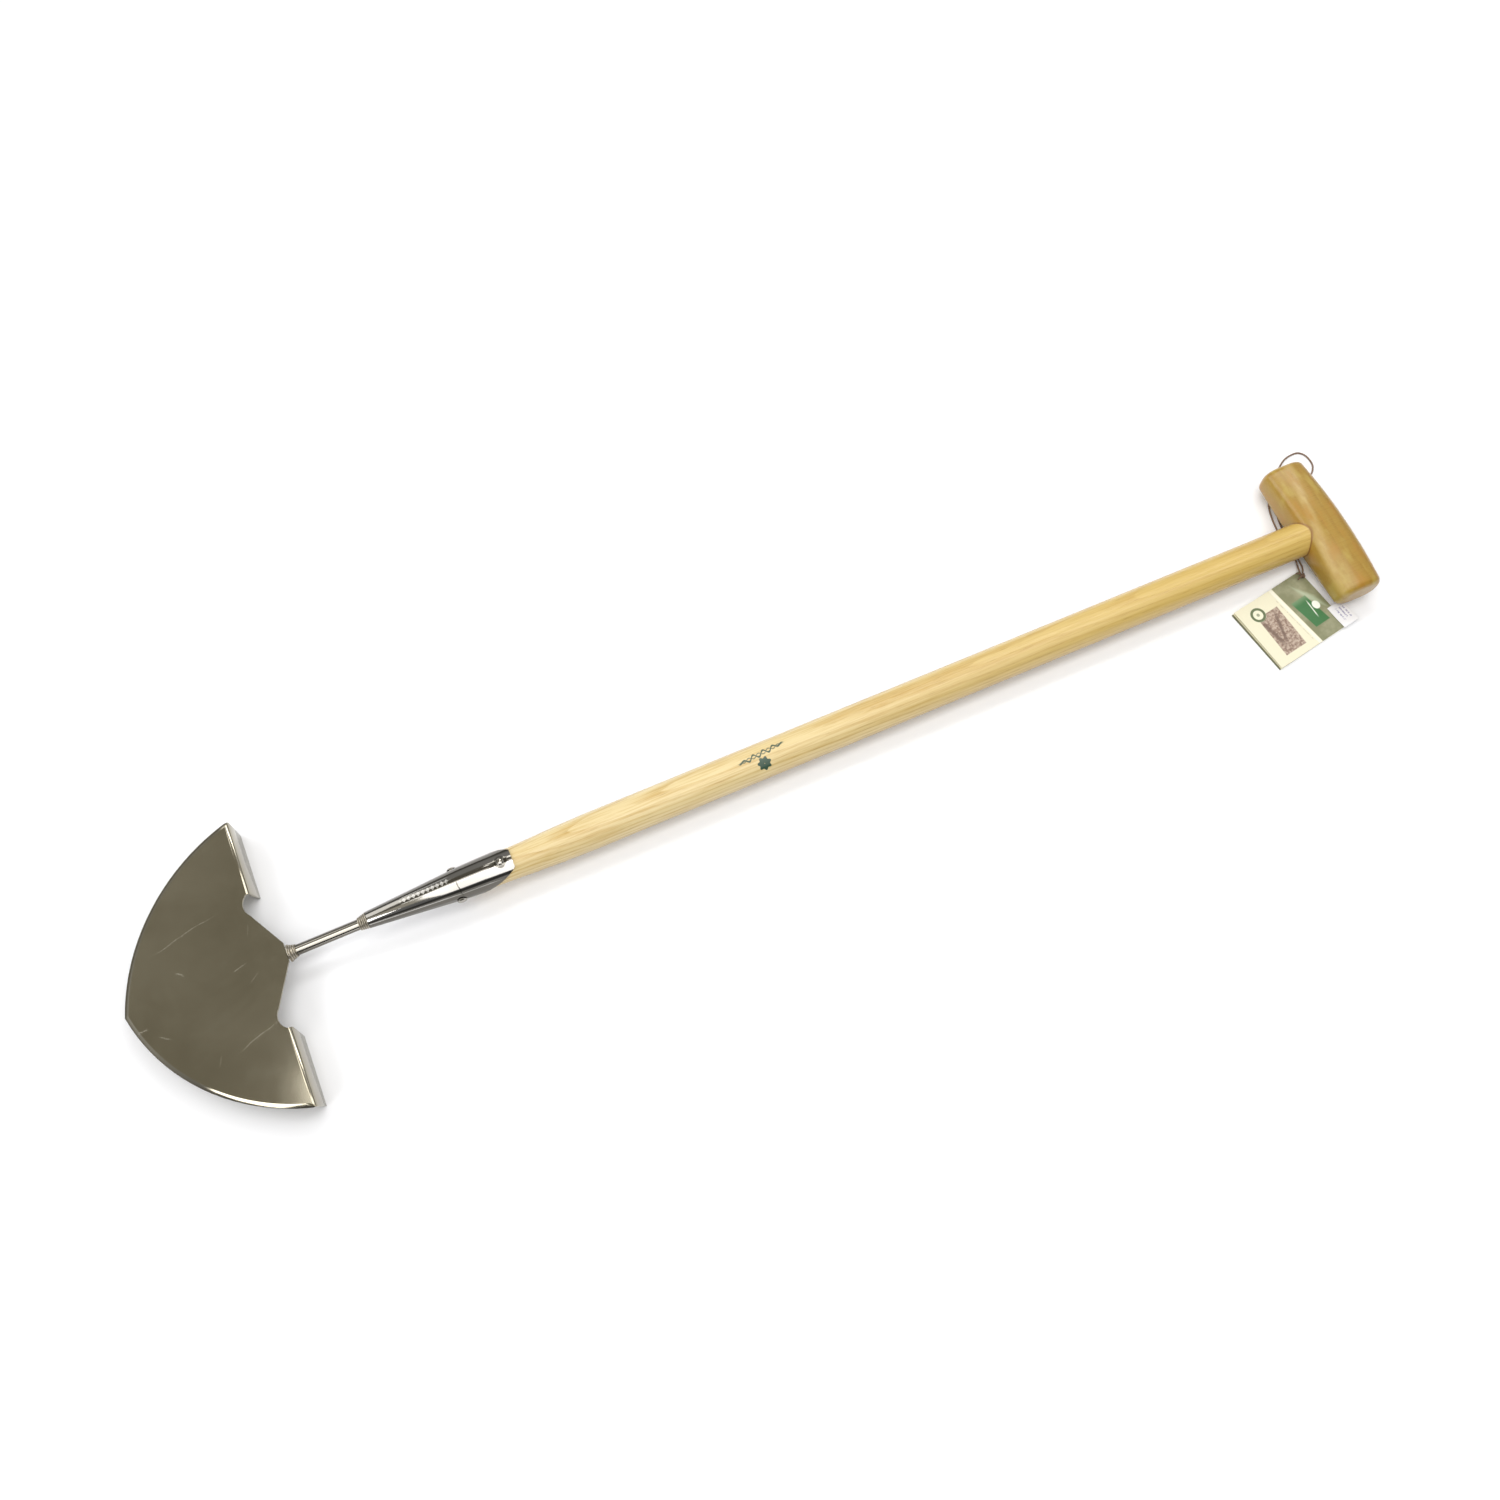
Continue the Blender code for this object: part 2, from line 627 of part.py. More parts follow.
def make_tag(card, label_look):
    """Back, inner and front leaves with one punched hole, and the price label on the front."""
    hole_x = TAG_SIZE[0] / 2 - TAG_HOLE_INSET
    hole_y = TAG_SIZE[1] / 2 - TAG_HOLE_INSET
    hole_centre = tag_point(hole_x, hole_y, 0.0)
    names = ("tag_back_leaf", "tag_inner_leaf", "tag_front_leaf")
    for name, level in zip(names, LEAF_LEVELS):
        centre = tag_point(0.0, 0.0, level + LEAF / 2)
        leaf = add_part(name, slab(name, (*TAG_SIZE, LEAF), centre, TAG_TURN), card)
        punch_name = name + "_punch"
        punch = cylinder(punch_name, TAG_HOLE_RADIUS, 0.01, hole_centre, "Z", 20)
        cut(leaf, add_cutter(punch_name, punch))
    centre = place(LABEL_CENTRE[0], LABEL_CENTRE[1], LABEL_LEVEL + GAP / 2)
    label = slab("price_label", (*LABEL_SIZE, GAP), centre, TAG_TURN)
    add_part("price_label", label, label_look)


def make_string(fibre):
    """The loop of string from the tag round the grip's end, and the knot that ends it."""
    tube("tag_string", smooth_route(STRING_ROUTE, STRING_STATIONS), STRING_RADIUS, 2, fibre)
    mesh = bpy.data.meshes.new("string_knot")
    work = bmesh.new()
    bmesh.ops.create_icosphere(work, subdivisions=2, radius=KNOT_RADIUS)
    work.to_mesh(mesh)
    work.free()
    mesh.transform(Matrix.Translation(place(*KNOT)))
    smooth_shading(mesh)
    add_part("string_knot", mesh, fibre)


polished_steel = material("polished_steel", (0.42, 0.40, 0.36), 0.18, 1.0)
weld_steel = material("weld_steel", (0.38, 0.36, 0.32), 0.35, 1.0)
shaft_wood = material("shaft_wood", (0.76, 0.60, 0.36), 0.42)
grip_wood = material("grip_wood", (0.55, 0.35, 0.11), 0.38)
tag_card = material("tag_card", (0.88, 0.84, 0.66), 0.6)
label_paper = material("label_paper", (0.9, 0.9, 0.9), 0.5)
string_fibre = material("string_fibre", (0.30, 0.22, 0.15), 0.9)

make_blade(polished_steel)
make_neck(polished_steel, weld_steel)
make_socket(polished_steel)
make_socket_weld(weld_steel)
make_side_rivet(polished_steel)
make_tongue_screw(polished_steel)
make_shaft(shaft_wood)
make_grip(grip_wood)
make_tag(tag_card, label_paper)
make_string(string_fibre)
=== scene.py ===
"""A half-moon lawn edging iron lying on a white table, with its swing tag.

X runs along the tool, blade at -X and grip at +X. Y runs along the grip, Z is up.
Distances called "along" are measured from the blade's tip towards the grip, in metres.
"""

import math

import bmesh
import bpy
from mathutils import Matrix, Vector


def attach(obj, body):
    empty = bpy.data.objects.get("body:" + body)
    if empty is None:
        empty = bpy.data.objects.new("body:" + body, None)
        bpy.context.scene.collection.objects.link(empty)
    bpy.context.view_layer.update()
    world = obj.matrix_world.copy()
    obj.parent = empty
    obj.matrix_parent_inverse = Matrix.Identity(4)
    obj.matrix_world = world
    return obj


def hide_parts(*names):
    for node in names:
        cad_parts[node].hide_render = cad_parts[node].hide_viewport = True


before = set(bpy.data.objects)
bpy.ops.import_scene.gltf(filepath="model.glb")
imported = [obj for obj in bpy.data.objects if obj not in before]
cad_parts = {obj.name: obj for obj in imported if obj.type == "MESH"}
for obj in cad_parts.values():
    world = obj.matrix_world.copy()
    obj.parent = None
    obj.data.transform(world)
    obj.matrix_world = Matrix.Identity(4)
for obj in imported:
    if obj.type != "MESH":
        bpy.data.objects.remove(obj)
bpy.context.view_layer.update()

# ---------------------------------------------------------------- sizes
HALF_LENGTH = 0.4993
AXIS_HEIGHT = 0.0165
ROD_HEIGHT = 0.0207
SHAFT_RADIUS = 0.014
MERGE = 0.00001

GRIP_FACE = 0.9588
GRIP_MIDDLE = (0.0199, 0.0165)
GRIP_END = (0.0187, 0.0138)
GRIP_HALF_LENGTH = 0.0612
GRIP_ROUNDING = 0.0056
GRIP_SQUARENESS = 2.9

TAG_SIZE = (0.071, 0.0575)
TAG_TURN = math.radians(10.0)
LEAF = 0.0005
LABEL_SIZE = (0.015, 0.0205)
LABEL_PAPER = 0.0002
LABEL_LEVEL = 0.0028


def place(along, across, height):
    return Vector((along - HALF_LENGTH, across, height))


TAG_MIDDLE = place(0.92375, -0.05425, 0.0)
LABEL_MIDDLE = place(0.9649, -0.0668, 0.0)
KNOT_MIDDLE = place(0.9527, -0.0252, 0.0047)
SCREW_X = place(0.2787, 0.0, 0.0).x
PRESS_X = place(0.2445, 0.0, 0.0).x
SOCKET_PIVOT_X = place(0.3000, 0.0, 0.0).x
SOCKET_LIFT = 0.05


# ---------------------------------------------------------------- camera
def make_camera():
    data = bpy.data.cameras.new("camera")
    data.lens = 32.7645
    data.clip_start = 0.05
    camera = bpy.data.objects.new("camera", data)
    camera.location = (-0.1677, -0.3299, 0.9814)
    camera.rotation_euler = (math.radians(21.14), 0.0, math.radians(-23.71))
    bpy.context.scene.collection.objects.link(camera)
    bpy.context.scene.camera = camera


make_camera()


# ---------------------------------------------------------------- pieces
def add_piece(name, mesh, slot, *nodes, crease=35.0):
    """A new piece on the tool's one body, in place of the nodes named."""
    for face in mesh.polygons:
        face.use_smooth = True
    mesh.set_sharp_from_angle(angle=math.radians(crease))
    piece = bpy.data.objects.new(name, mesh)
    bpy.context.scene.collection.objects.link(piece)
    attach(piece, "root")
    if nodes:
        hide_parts(*nodes)
    return piece


def close_work(work, name):
    mesh = bpy.data.meshes.new(name)
    work.to_mesh(mesh)
    work.free()
    return mesh


def smooth_line(points, steps):
    """Points on a Catmull-Rom curve through the given ones."""
    ends = [2 * points[0] - points[1]] + points + [2 * points[-1] - points[-2]]
    fine = []
    for i in range(len(points) - 1):
        a, b, c, d = ends[i : i + 4]
        for step in range(steps):
            t = step / steps
            bend = (2 * a - 5 * b + 4 * c - d) * t**2 + (3 * b - a - 3 * c + d) * t**3
            fine.append(0.5 * (2 * b + (c - a) * t + bend))
    return fine + [points[-1]]


def tube_curve(name, radius):
    data = bpy.data.curves.new(name, "CURVE")
    data.dimensions = "3D"
    data.bevel_depth = radius
    data.bevel_resolution = 3
    data.use_fill_caps = True
    return data


def add_line(data, points, cyclic=False):
    spline = data.splines.new("POLY")
    spline.points.add(len(points) - 1)
    for point, spot in zip(spline.points, points):
        point.co = (*spot, 1.0)
    spline.use_cyclic_u = cyclic


def tube_mesh(name, data):
    line = bpy.data.objects.new(name, data)
    mesh = bpy.data.meshes.new_from_object(line)
    mesh.name = name
    bpy.data.objects.remove(line)
    return mesh


# ---------------------------------------------------------------- string
STRING_RADIUS = 0.00065
KNOT_STRAND = 0.0006
KNOT_WIDTH = 0.00055
KNOT_DEPTH = 0.0007
KNOT_STEPS = 60
KNOT_ENDS = ((-0.005, 0.0035, 0.0008), (-0.0055, -0.0015, -0.0004))
STRING_ROUTE = (
    (0.9521, -0.0227, 0.0040),
    (0.9540, -0.0180, 0.0026),
    (0.9572, -0.0090, 0.0010),
    (0.9578, 0.0040, 0.0008),
    (0.9580, 0.0180, 0.0008),
    (0.9600, 0.0310, 0.0008),
    (0.9635, 0.0420, 0.0008),
    (0.9700, 0.0520, 0.0008),
    (0.9800, 0.0620, 0.0008),
    (0.9900, 0.0700, 0.0008),
    (0.9988, 0.0758, 0.0008),
    (1.0070, 0.0778, 0.0008),
    (1.0136, 0.0771, 0.0008),
    (1.0178, 0.0725, 0.0008),
    (1.0189, 0.0651, 0.0008),
    (1.0172, 0.0596, 0.0008),
    (1.0117, 0.0544, 0.0008),
    (1.0020, 0.0500, 0.0008),
    (0.9900, 0.0480, 0.0008),
    (0.9780, 0.0465, 0.0008),
    (0.9690, 0.0400, 0.0008),
    (0.9640, 0.0270, 0.0008),
    (0.9615, 0.0120, 0.0008),
    (0.9600, -0.0030, 0.0008),
    (0.9590, -0.0140, 0.0012),
    (0.9570, -0.0195, 0.0026),
    (0.9543, -0.0227, 0.0040),
)


def make_knot():
    """A pulled-tight overhand knot, with two short cut ends."""
    loop = []
    for i in range(KNOT_STEPS):
        t = math.tau * i / KNOT_STEPS
        x = KNOT_WIDTH * (math.sin(t) + 2 * math.sin(2 * t))
        y = KNOT_WIDTH * (math.cos(t) - 2 * math.cos(2 * t))
        loop.append(KNOT_MIDDLE + Vector((x, y, -KNOT_DEPTH * math.sin(3 * t))))
    data = tube_curve("knot_line", KNOT_STRAND)
    add_line(data, loop, cyclic=True)
    for end in (Vector(end) for end in KNOT_ENDS):
        bend = KNOT_MIDDLE + 0.5 * end + Vector((0.0, 0.0, 0.0009))
        add_line(data, smooth_line([KNOT_MIDDLE, bend, KNOT_MIDDLE + end], 5))
    mesh = tube_mesh("tied_knot", data)
    return add_piece("tied_knot", mesh, "string_jute", "string_knot", crease=60.0)


def make_string():
    line = smooth_line([place(*spot) for spot in STRING_ROUTE], 5)
    length = sum((after - before).length for before, after in zip(line, line[1:]))
    data = tube_curve("twisted_string", STRING_RADIUS)
    add_line(data, line)
    mesh = tube_mesh("twisted_string", data)
    string = add_piece("twisted_string", mesh, "string_jute", "tag_string", crease=60.0)
    knot = make_knot()
    return string, knot


string_piece, knot_piece = make_string()


# ---------------------------------------------------------------- shader maths
class Value:
    """A shader socket that can be used in sums like a number."""

    def __init__(self, finish, socket):
        self.finish = finish
        self.socket = socket

    def maths(self, operation, *values):
        return self.finish.node("ShaderNodeMath", {"operation": operation}, *values)

    def __add__(self, other):
        return self.maths("ADD", self, other)

    def __radd__(self, other):
        return self.maths("ADD", other, self)

    def __sub__(self, other):
        return self.maths("SUBTRACT", self, other)

    def __rsub__(self, other):
        return self.maths("SUBTRACT", other, self)

    def __mul__(self, other):
        return self.maths("MULTIPLY", self, other)

    def __rmul__(self, other):
        return self.maths("MULTIPLY", other, self)

    def __truediv__(self, other):
        return self.maths("DIVIDE", self, other)

    def __rtruediv__(self, other):
        return self.maths("DIVIDE", other, self)

    def __pow__(self, other):
        return self.maths("POWER", self, other)

    def __abs__(self):
        return self.maths("ABSOLUTE", self)

    def wave(self):
        return self.maths("SINE", self)

    def part(self):
        return self.maths("FRACT", self)

    def root(self):
        return self.maths("SQRT", self)

    def bearing(self, other):
        """The angle whose tangent is this value over the other one."""
        return self.maths("ARCTAN2", self, other)

    def highest(self, other):
        return self.maths("MAXIMUM", self, other)

    def fade(self, start, end):
        """0 where the value is at start, 1 where it is at end, smooth between."""
        settings = {"interpolation_type": "SMOOTHSTEP", "clamp": True}
        return self.finish.node("ShaderNodeMapRange", settings, self, start, end, 0.0, 1.0)


class Finish:
    """A material, made from the shader's own constants and a few nodes."""

    def __init__(self, name, **constants):
        self.material = bpy.data.materials.new(name)
        self.material.use_nodes = True
        self.tree = self.material.node_tree
        self.shader = self.tree.nodes["Principled BSDF"]
        for socket, number in constants.items():
            self.shader.inputs[socket.replace("_", " ")].default_value = number

    def feed(self, socket, value):
        if isinstance(value, Value):
            self.tree.links.new(value.socket, socket)
        elif value is not None:
            socket.default_value = value

    def node(self, kind, settings, *values, output=0, **named):
        made = self.tree.nodes.new(kind)
        for key, setting in settings.items():
            setattr(made, key, setting)
        for socket, value in zip(made.inputs, values):
            self.feed(socket, value)
        for key, value in named.items():
            self.feed(made.inputs[key], value)
        return Value(self, made.outputs[output])

    def spot(self):
        """The place on the object, in its own metres."""
        return self.node("ShaderNodeTexCoord", {}, output=3)

    def axes(self, vector):
        split = self.tree.nodes.new("ShaderNodeSeparateXYZ")
        self.feed(split.inputs[0], vector)
        return [Value(self, output) for output in split.outputs]

    def stretch(self, vector, scale, turn=(0.0, 0.0, 0.0)):
        return self.node("ShaderNodeMapping", {}, vector, (0.0, 0.0, 0.0), turn, scale)

    def noise(self, vector, scale, detail=2.0, roughness=0.5, distortion=0.0):
        return self.node(
            "ShaderNodeTexNoise", {"noise_dimensions": "3D"}, Vector=vector, Scale=scale,
            Detail=detail, Roughness=roughness, Distortion=distortion,
        )

    def specks(self, vector, scale):
        """1 at the middle of each small pit, 0 between them."""
        cells = self.node("ShaderNodeTexVoronoi", {"feature": "F1"}, Vector=vector, Scale=scale)
        return cells.fade(0.05, 0.0)

    def mix(self, share, first, second, blend="MIX"):
        made = self.tree.nodes.new("ShaderNodeMix")
        made.data_type = "RGBA"
        made.blend_type = blend
        for index, value in ((0, share), (6, first), (7, second)):
            if isinstance(value, tuple):
                value = (*value, 1.0)
            self.feed(made.inputs[index], value)
        return Value(self, made.outputs[2])

    def colour(self, value):
        self.feed(self.shader.inputs["Base Color"], value)

    def roughness(self, value):
        self.feed(self.shader.inputs["Roughness"], value)

    def bump(self, height, distance):
        normal = self.node("ShaderNodeBump", {}, Strength=1.0, Distance=distance, Height=height)
        self.feed(self.shader.inputs["Normal"], normal)


def distance(first, second):
    return (first * first + second * second).root()


def line_mask(x, y, start, end, width):
    """1 along the straight stroke from start to end, fading out at its edges."""
    dx = end[0] - start[0]
    dy = end[1] - start[1]
    length = math.hypot(dx, dy)
    dx /= length
    dy /= length
    ahead = (x - start[0]) * dx + (y - start[1]) * dy
    aside = abs((x - start[0]) * dy - (y - start[1]) * dx)
    taper = ahead.fade(0.0, 0.3 * length) * ahead.fade(length, 0.7 * length)
    return aside.fade(width, 0.2 * width) * taper


def box_mask(p, q, middle, half, soft):
    """1 inside a rectangle, fading out over its edge."""
    outside = (abs(p - middle[0]) - half[0]).highest(abs(q - middle[1]) - half[1])
    return outside.fade(soft, -soft)


# ---------------------------------------------------------------- metal
# Each scratch: its start and end in X and Y, its width, and how strongly it shows.
SCRATCHES = (
    ((-0.475, 0.034), (-0.416, 0.047), 0.00050, 0.40),
    ((-0.436, -0.056), (-0.394, -0.043), 0.00045, 0.40),
    ((-0.423, 0.000), (-0.409, 0.004), 0.00055, 0.42),
    ((-0.412, -0.012), (-0.404, -0.006), 0.00050, 0.34),
    ((-0.494, -0.014), (-0.486, -0.016), 0.00090, 0.40),
    ((-0.482, -0.023), (-0.471, -0.027), 0.00060, 0.36),
    ((-0.459, 0.017), (-0.452, 0.012), 0.00090, 0.34),
    ((-0.449, -0.062), (-0.444, -0.052), 0.00060, 0.26),
    ((-0.404, 0.022), (-0.402, 0.030), 0.00050, 0.22),
)
ENGRAVING_START = -0.298
ENGRAVING_END = -0.258
ENGRAVING_ANGLE = 0.13
LOZENGE_LENGTH = 0.0036
BORDER_ANGLE = 0.27


def wiping(finish, spot, angle, length, width):
    """Fine parallel marks of a polishing cloth, turned by an angle about Z."""
    scale = (1.0 / length, 1.0 / width, 1.0 / width)
    return finish.noise(finish.stretch(spot, scale, (0.0, 0.0, angle)), 1.0, 2.0)


def painted_reflection_bands(finish, angle, base, dark):
    """Painted reflection: dark bands painted on a round bar's far side, in a thin line and low
    down on its near side.

    The angle is 0 on top of the bar and grows towards +Y.
    """
    far_side = angle.fade(-0.20, -0.10) * 0.86
    near_line = abs(angle + 0.74).fade(0.10, 0.06) * 0.85
    low_band = angle.fade(-0.93, -1.02) * angle.fade(-1.74, -1.62) * 0.95
    return finish.mix(far_side.highest(near_line).highest(low_band), base, dark)


def steel(name, base, low, high, depth, axis_height=None):
    """Polished stainless steel: cloudy polish, fine wiping marks, small pits, and painted
    reflection bands on a round bar.
    """
    finish = Finish(name, Metallic=1.0)
    spot = finish.spot()
    cloud = finish.noise(spot, 22.0, 3.0, 0.55)
    wipe = wiping(finish, spot, 0.5, 0.016, 0.0011)
    rub = wiping(finish, spot, 1.5, 0.02, 0.0011)
    pits = finish.specks(spot, 260.0)
    dark = tuple(0.9 * part for part in base)
    tone = finish.mix(cloud.fade(0.3, 0.7), dark, base)
    if axis_height:
        y, z = finish.axes(spot)[1:]
        # painted reflection: dark bands round the bar, standing in for its mirrored surroundings
        tone = painted_reflection_bands(finish, y.bearing(z - axis_height), tone, (0.14, 0.13, 0.11))
    finish.colour(tone)
    worn = cloud.fade(0.25, 0.75) * 0.6 + wipe.fade(0.45, 0.75) * 0.25 + rub.fade(0.5, 0.8) * 0.15
    finish.roughness(low + (high - low) * worn)
    finish.bump(wipe * 0.6 + rub * 0.4 - pits * 0.8, depth)
    return finish


def blade_steel():
    """The blade's own finish, with a few longer scratches and small stains."""
    finish = Finish("polished_blade_steel", Metallic=1.0)
    spot = finish.spot()
    sway = finish.noise(spot, 60.0, 2.0) - 0.5
    x, y = finish.axes(spot)[:2]
    x = x + 0.004 * sway
    y = y + 0.006 * sway
    cloud = finish.noise(spot, 16.0, 4.0, 0.6, 0.4)
    stain = finish.noise(spot, 48.0, 3.0, 0.6)
    grit = finish.noise(spot, 900.0, 2.0, 0.7)
    wipe = wiping(finish, spot, 0.45, 0.02, 0.0012)
    rub = wiping(finish, spot, 1.55, 0.024, 0.0012)
    marks = None
    for start, end, width, share in SCRATCHES:
        stroke = line_mask(x, y, start, end, width) * share
        marks = stroke if marks is None else marks.highest(stroke)
    marks = marks * grit.fade(0.35, 0.55)
    worn = cloud.fade(0.3, 0.7) * 0.5 + wipe.fade(0.45, 0.75) * 0.3 + rub.fade(0.5, 0.8) * 0.2
    base = finish.mix(cloud.fade(0.3, 0.72), (0.365, 0.335, 0.26), (0.42, 0.39, 0.31))
    base = finish.mix(stain.fade(0.55, 0.75) * 0.3, base, (0.45, 0.425, 0.35))
    finish.colour(finish.mix(marks, base, (0.85, 0.83, 0.76)))
    finish.roughness(0.085 + 0.045 * worn + 0.25 * marks)
    finish.bump(wipe * 0.4 + rub * 0.3 - marks, 0.000006)
    return finish


def socket_steel():
    """Mirror polish with painted reflection bands, a plain engraved border of two lines and a row
    of lozenges.

    The sheet is dished round the screw and pressed in beside the rivet, and both are darkened with
    painted shade.
    """
    finish = Finish("polished_socket_steel", Metallic=1.0)
    spot = finish.spot()
    x, y, z = finish.axes(spot)
    axis = AXIS_HEIGHT + SOCKET_LIFT * (SOCKET_PIVOT_X - x).highest(0.0)
    angle = y.bearing(z - axis)
    cloud = finish.noise(spot, 26.0, 3.0, 0.55)
    wipe = wiping(finish, spot, 0.0, 0.03, 0.0011)
    pits = finish.specks(spot, 320.0)
    along = x.fade(ENGRAVING_START, ENGRAVING_START + 0.004)
    along = along * x.fade(ENGRAVING_END, ENGRAVING_END - 0.004)
    aside = abs(angle - ENGRAVING_ANGLE)
    tick = abs((x / LOZENGE_LENGTH).part() - 0.5)
    lozenge = (tick + aside * 2.2).fade(0.46, 0.36)
    border = abs(aside - BORDER_ANGLE).fade(0.045, 0.015)
    cut = lozenge.highest(border) * along
    base = finish.mix(cloud.fade(0.3, 0.7), (0.62, 0.60, 0.56), (0.72, 0.70, 0.67))
    # painted reflection bands round the socket
    base = painted_reflection_bands(finish, angle, base, (0.11, 0.103, 0.088))
    away = distance(x - SCREW_X, y)
    dish_and_shade = away.fade(0.0052, 0.0042) * away.fade(0.0026, 0.0032)
    press_and_shade = abs(x - PRESS_X - 0.0012 * abs(angle)).fade(0.0006, 0.0003)
    press_and_shade = press_and_shade * angle.fade(-0.1, -0.2) * angle.fade(-1.3, -1.1)
    # painted shade darkening the dish round the screw and the pressed line
    base = finish.mix(dish_and_shade.highest(press_and_shade) * 0.75, base, (0.09, 0.085, 0.07))
    finish.colour(finish.mix(cut * 0.4, base, (0.74, 0.73, 0.70)))
    finish.roughness(0.05 + 0.07 * cloud + 0.06 * wipe.fade(0.45, 0.75) + 0.22 * cut)
    finish.bump(wipe * 0.4 - pits * 0.5 - cut - dish_and_shade * 4.0 - press_and_shade * 3.0, 0.00002)
    return finish


def weld_steel():
    """Weld metal: overlapping ripples along the bead, painted highlight on the crests and painted
    shade in the troughs.
    """
    finish = Finish("weld_metal", Metallic=1.0)
    spot = finish.spot()
    x = finish.axes(spot)[0]
    sway = finish.noise(spot, 400.0, 2.0)
    ripple = ((x + 0.0012 * sway) * 4200.0).wave() * 0.5 + 0.5
    grain = finish.noise(spot, 1500.0, 2.0)
    # painted highlight and shade following the ripples
    finish.colour(finish.mix(ripple, (0.20, 0.17, 0.12), (0.42, 0.39, 0.33)))
    finish.roughness(0.2 + 0.18 * grain + 0.1 * (1.0 - ripple))
    finish.bump(ripple + grain * 0.3, 0.00022)
    return finish


# ---------------------------------------------------------------- wood
JOINT_STAIN = (0.26, 0.12, 0.035)
HEART_ASIDE = 0.018
HEART_BELOW = 0.035


def ash(name, tones, drift_range, grain_turn, ring_width, contrast, coat):
    """Ash: long latewood lines from a distant heart, open pores, slow colour drift along X.

    Tones and contrast are each given at the start and at the end of the drift, and the coat
    as its weight and its roughness. Returns the finish and its colour so far.
    """
    finish = Finish(name, Coat_Weight=coat[0], Coat_Roughness=coat[1], Specular_IOR_Level=0.35)
    spot = finish.spot()

    def streaks(along, across, turn, *detail):
        """Noise with that many spots in a metre along the grain and across it."""
        return finish.noise(finish.stretch(spot, (along, across, across), turn), 1.0, *detail)

    x, y, z = finish.axes(finish.stretch(spot, (1.0, 1.0, 1.0), grain_turn))
    drift = streaks(2.6, 14.0, grain_turn)
    ripple = streaks(14.0, 120.0, grain_turn)
    heart = distance(y + HEART_ASIDE, z + HEART_BELOW)
    rings = (heart + 0.016 * drift + 0.0012 * ripple + 0.014 * x) / ring_width
    late = rings.part().fade(0.45, 0.93) * rings.part().fade(1.0, 0.95)
    pores = streaks(70.0, 2200.0, grain_turn, 1.0)
    askew = (*grain_turn[:2], grain_turn[2] + 0.06)
    fibres = streaks(26.0, 760.0, askew, 3.0, 0.65)
    tone = streaks(5.0, 40.0, (0.0, 0.0, 0.0))
    share = finish.axes(spot)[0].fade(*drift_range)
    body = finish.mix(share, *tones)
    shade = late * 0.42 + fibres.fade(0.44, 0.64) * 0.42 + tone.fade(0.4, 0.75) * 0.22
    shade = shade * (contrast[0] + (contrast[1] - contrast[0]) * share)
    body = finish.mix(shade, body, (0.76, 0.63, 0.40), "MULTIPLY")
    flecks = pores.fade(0.60, 0.72) * late.fade(0.0, 0.6)
    body = finish.mix(flecks * 0.35, body, (0.45, 0.34, 0.22), "MULTIPLY")
    finish.roughness(0.32 + 0.14 * fibres + 0.1 * flecks)
    finish.bump(fibres * 0.5 - flecks * 0.6 - late * 0.3, 0.00005)
    return finish, body


def printed_mark(x, around):
    """A seven-leaved rosette with a wavy flourish of two lines beside it."""
    dx = x + 0.0138
    dy = around + 0.0072
    radius = distance(dx, dy)
    petals = 0.0048 + 0.0007 * (dy.bearing(dx) * 7.0).wave()
    rosette = (radius - petals).fade(0.0003, -0.0002) * radius.fade(0.0001, 0.0004)
    ahead = x + 0.0135
    swell = ahead.fade(-0.021, -0.008) * ahead.fade(0.021, 0.008)
    swing = swell * (ahead * 760.0).wave()
    aside = around - 0.0010 - ahead * 0.10
    thick = abs(aside - 0.0018 * swing).fade(0.0010, 0.0006)
    thin = abs(aside + 0.0012 * swing).fade(0.0007, 0.0003)
    flourish = thick.highest(thin * 0.8) * swell.fade(0.0, 0.2)
    return (rosette * 0.97).highest(flourish * 0.92)


def shaft_ash():
    """The shaft: pale near the socket, amber near the grip, painted shade along its sides, with a
    printed green mark.
    """
    finish, body = ash(
        "ash_shaft", ((0.70, 0.57, 0.30), (0.58, 0.41, 0.115)), (-0.12, 0.40), (0.0, 0.0, 0.0),
        0.0028, (1.15, 0.6), (0.6, 0.16),
    )
    x, y, z = finish.axes(finish.spot())
    around = y.bearing(z - AXIS_HEIGHT) * SHAFT_RADIUS
    # painted shade: the shaft darkened towards its sides
    sides = (around.fade(0.0105, 0.0165) * 0.8).highest(around.fade(-0.0175, -0.0255) * 0.6)
    body = finish.mix(sides, body, (0.74, 0.66, 0.56), "MULTIPLY")
    body = finish.mix(printed_mark(x, around), body, (0.008, 0.055, 0.036))
    depth = abs(x - (GRIP_FACE + GRIP_MIDDLE[0] - HALF_LENGTH)) / GRIP_MIDDLE[0]
    rise = abs(z - AXIS_HEIGHT) / GRIP_MIDDLE[1]
    shell = depth**GRIP_SQUARENESS + rise**GRIP_SQUARENESS
    joint = shell.fade(1.20, 1.05) * 0.85
    finish.colour(finish.mix(joint, body, JOINT_STAIN))
    return finish


